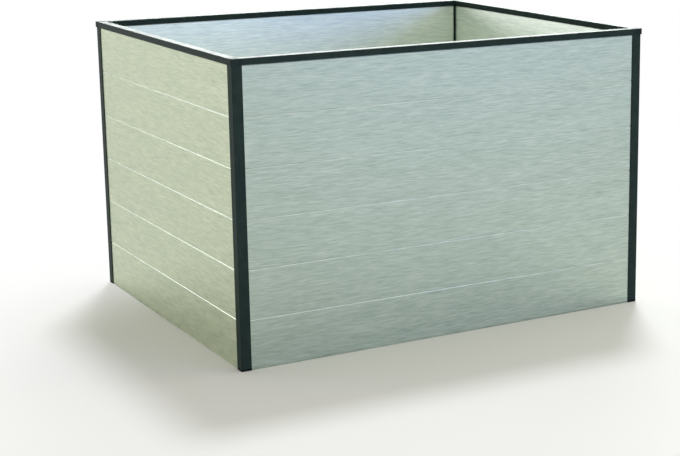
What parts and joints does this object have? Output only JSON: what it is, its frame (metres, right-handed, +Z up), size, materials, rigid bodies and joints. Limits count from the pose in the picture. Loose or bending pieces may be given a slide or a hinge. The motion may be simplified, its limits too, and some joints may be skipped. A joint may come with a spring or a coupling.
{
  "type": "raised garden bed",
  "caption": "Rectangular bottomless raised garden bed: brushed aluminium tongue-and-groove plank walls on base rails, in dark slotted corner posts, with a dark rim, corner caps and feet.",
  "frame": {"origin": "centre of the footprint on the ground plane, under the feet", "axes": "+X along the long walls from left to right, +Y from the front wall to the back wall, +Z up"},
  "size_m": [1.202, 0.986, 0.77],
  "materials": {
    "brushed_aluminium": "brushed along the planks",
    "anthracite_coat": "anthracite powder coat, satin",
    "cap_plastic": "moulded, fine matte",
    "foot_plastic": "moulded, matte"
  },
  "bodies": {
    "root": {"foot_front_left": "foot_plastic", "post_front_left": "anthracite_coat", "corner_cap_front_left": "cap_plastic", "foot_front_right": "foot_plastic", "post_front_right": "anthracite_coat", "corner_cap_front_right": "cap_plastic", "foot_back_right": "foot_plastic", "post_back_right": "anthracite_coat", "corner_cap_back_right": "cap_plastic", "foot_back_left": "foot_plastic", "post_back_left": "anthracite_coat", "corner_cap_back_left": "cap_plastic", "base_rail_front": "brushed_aluminium", "plank_front_1": "brushed_aluminium", "plank_front_2": "brushed_aluminium", "plank_front_3": "brushed_aluminium", "plank_front_4": "brushed_aluminium", "plank_front_5": "brushed_aluminium", "plank_front_6": "brushed_aluminium", "rim_rail_front": "anthracite_coat", "base_rail_right": "brushed_aluminium", "plank_right_1": "brushed_aluminium", "plank_right_2": "brushed_aluminium", "plank_right_3": "brushed_aluminium", "plank_right_4": "brushed_aluminium", "plank_right_5": "brushed_aluminium", "plank_right_6": "brushed_aluminium", "rim_rail_right": "anthracite_coat", "base_rail_back": "brushed_aluminium", "plank_back_1": "brushed_aluminium", "plank_back_2": "brushed_aluminium", "plank_back_3": "brushed_aluminium", "plank_back_4": "brushed_aluminium", "plank_back_5": "brushed_aluminium", "plank_back_6": "brushed_aluminium", "rim_rail_back": "anthracite_coat", "base_rail_left": "brushed_aluminium", "plank_left_1": "brushed_aluminium", "plank_left_2": "brushed_aluminium", "plank_left_3": "brushed_aluminium", "plank_left_4": "brushed_aluminium", "plank_left_5": "brushed_aluminium", "plank_left_6": "brushed_aluminium", "rim_rail_left": "anthracite_coat"}
  },
  "joints": []
}
